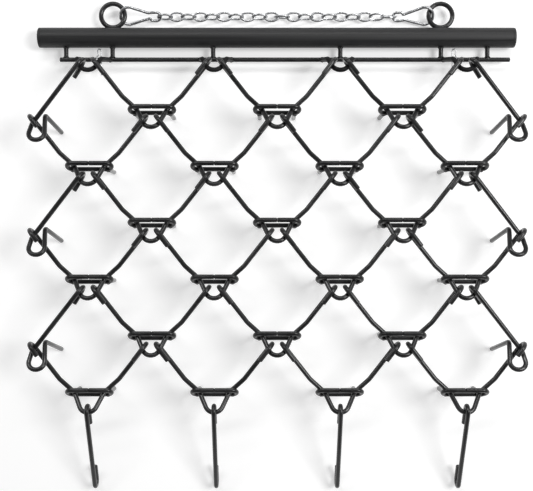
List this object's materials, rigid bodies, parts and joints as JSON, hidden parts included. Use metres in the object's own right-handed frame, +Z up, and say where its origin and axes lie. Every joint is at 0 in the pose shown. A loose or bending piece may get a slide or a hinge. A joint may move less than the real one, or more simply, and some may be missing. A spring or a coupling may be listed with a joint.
{
  "type": "drag_chain_harrow",
  "caption": "Black steel drag chain harrow: a tube drawbar with tow rings and chain, a hinged mat of bent-rod links with collars and downward tines, and hooks trailing behind.",
  "frame": {"origin": "on the ground under the middle of the whole harrow's box", "axes": "+X to the right across the harrow seen from behind it, +Y forward in the towing direction, +Z up"},
  "size_m": [1.2298, 1.2498, 0.1488],
  "materials": {
    "black_powder_coat": "satin",
    "zinc_plate": "satin",
    "black_plastic": "matte"
  },
  "bodies": {
    "drawbar": {"tow_tube": "black_powder_coat", "tube_plugs": "black_plastic", "tow_rings": "black_powder_coat", "hanger_posts": "black_powder_coat", "hanger_rod": "black_powder_coat", "hanger_loops": "black_powder_coat", "hairpin_clip_left": "zinc_plate", "hairpin_clip_right": "zinc_plate"},
    "row_1": {"link_row1_1": "black_powder_coat", "link_row1_2": "black_powder_coat", "link_row1_3": "black_powder_coat", "collars_row1": "black_powder_coat", "tines_row1": "black_powder_coat", "side_bar_row1_left": "black_powder_coat", "side_bar_row1_right": "black_powder_coat"},
    "row_2": {"link_row2_1": "black_powder_coat", "link_row2_2": "black_powder_coat", "link_row2_3": "black_powder_coat", "link_row2_4": "black_powder_coat", "collars_row2": "black_powder_coat", "tines_row2": "black_powder_coat"},
    "row_3": {"link_row3_1": "black_powder_coat", "link_row3_2": "black_powder_coat", "link_row3_3": "black_powder_coat", "collars_row3": "black_powder_coat", "tines_row3": "black_powder_coat", "side_bar_row3_left": "black_powder_coat", "side_bar_row3_right": "black_powder_coat"},
    "row_4": {"link_row4_1": "black_powder_coat", "link_row4_2": "black_powder_coat", "link_row4_3": "black_powder_coat", "link_row4_4": "black_powder_coat", "collars_row4": "black_powder_coat", "tines_row4": "black_powder_coat"},
    "row_5": {"link_row5_1": "black_powder_coat", "link_row5_2": "black_powder_coat", "link_row5_3": "black_powder_coat", "collars_row5": "black_powder_coat", "tines_row5": "black_powder_coat", "side_bar_row5_left": "black_powder_coat", "side_bar_row5_right": "black_powder_coat"},
    "row_6": {"link_row6_1": "black_powder_coat", "link_row6_2": "black_powder_coat", "link_row6_3": "black_powder_coat", "link_row6_4": "black_powder_coat", "collars_row6": "black_powder_coat", "tines_row6": "black_powder_coat"},
    "trailing_hook_1": {"end_hook_1": "black_powder_coat"},
    "trailing_hook_2": {"end_hook_2": "black_powder_coat"},
    "trailing_hook_3": {"end_hook_3": "black_powder_coat"},
    "trailing_hook_4": {"end_hook_4": "black_powder_coat"},
    "tow_left": {"snap_body_left": "zinc_plate", "gate_pin_left": "zinc_plate", "chain_left": "zinc_plate"},
    "gate_left": {"snap_gate_left": "zinc_plate"},
    "tow_right": {"snap_body_right": "zinc_plate", "gate_pin_right": "zinc_plate", "chain_right": "zinc_plate"},
    "gate_right": {"snap_gate_right": "zinc_plate"}
  },
  "joints": [
    {"name": "row_1_hinge", "type": "hinge", "parent": "drawbar", "child": "row_1", "pos_m": [0, 0.44456, 0.12133], "axis": [1, 0, 0], "range_deg": [-25, 8]},
    {"name": "row_2_hinge", "type": "hinge", "parent": "row_1", "child": "row_2", "pos_m": [0, 0.30456, 0.12133], "axis": [1, 0, 0], "range_deg": [-25, 8]},
    {"name": "row_3_hinge", "type": "hinge", "parent": "row_2", "child": "row_3", "pos_m": [0, 0.16456, 0.12133], "axis": [1, 0, 0], "range_deg": [-25, 8]},
    {"name": "row_4_hinge", "type": "hinge", "parent": "row_3", "child": "row_4", "pos_m": [0, 0.02456, 0.12133], "axis": [1, 0, 0], "range_deg": [-25, 8]},
    {"name": "row_5_hinge", "type": "hinge", "parent": "row_4", "child": "row_5", "pos_m": [0, -0.11544, 0.12133], "axis": [1, 0, 0], "range_deg": [-25, 8]},
    {"name": "row_6_hinge", "type": "hinge", "parent": "row_5", "child": "row_6", "pos_m": [0, -0.25544, 0.12133], "axis": [1, 0, 0], "range_deg": [-25, 8]},
    {"name": "trailing_hook_1_hinge", "type": "hinge", "parent": "row_6", "child": "trailing_hook_1", "pos_m": [-0.465, -0.41043, 0.1293], "axis": [1, 0, 0], "range_deg": [-10, 25]},
    {"name": "trailing_hook_2_hinge", "type": "hinge", "parent": "row_6", "child": "trailing_hook_2", "pos_m": [-0.155, -0.41043, 0.1293], "axis": [1, 0, 0], "range_deg": [-10, 25]},
    {"name": "trailing_hook_3_hinge", "type": "hinge", "parent": "row_6", "child": "trailing_hook_3", "pos_m": [0.155, -0.41043, 0.1293], "axis": [1, 0, 0], "range_deg": [-10, 25]},
    {"name": "trailing_hook_4_hinge", "type": "hinge", "parent": "row_6", "child": "trailing_hook_4", "pos_m": [0.465, -0.41043, 0.1293], "axis": [1, 0, 0], "range_deg": [-10, 25]},
    {"name": "tow_left_swing", "type": "hinge", "parent": "drawbar", "child": "tow_left", "pos_m": [-0.4005, 0.58848, 0.02628], "axis": [0, 0, 1], "range_deg": [-1.5, 5.5]},
    {"name": "gate_left_hinge", "type": "hinge", "parent": "tow_left", "child": "gate_left", "pos_m": [-0.33572, 0.58192, 0.01313], "axis": [0.0894, -0.6428, 0.7608], "range_deg": [-25, 0], "stiffness_Nm_per_rad": 0.05, "springref_deg": 17.19},
    {"name": "tow_right_swing", "type": "hinge", "parent": "drawbar", "child": "tow_right", "pos_m": [0.4005, 0.58848, 0.02628], "axis": [0, 0, 1], "range_deg": [-5.5, 1.5]},
    {"name": "gate_right_hinge", "type": "hinge", "parent": "tow_right", "child": "gate_right", "pos_m": [0.33444, 0.59505, 0.02407], "axis": [-0.0894, -0.6428, 0.7608], "range_deg": [-25, 0], "stiffness_Nm_per_rad": 0.05, "springref_deg": 17.19}
  ],
  "couplings": [
    {"joint": "tow_right_swing", "follows": "tow_left_swing", "ratio": -1}
  ]
}
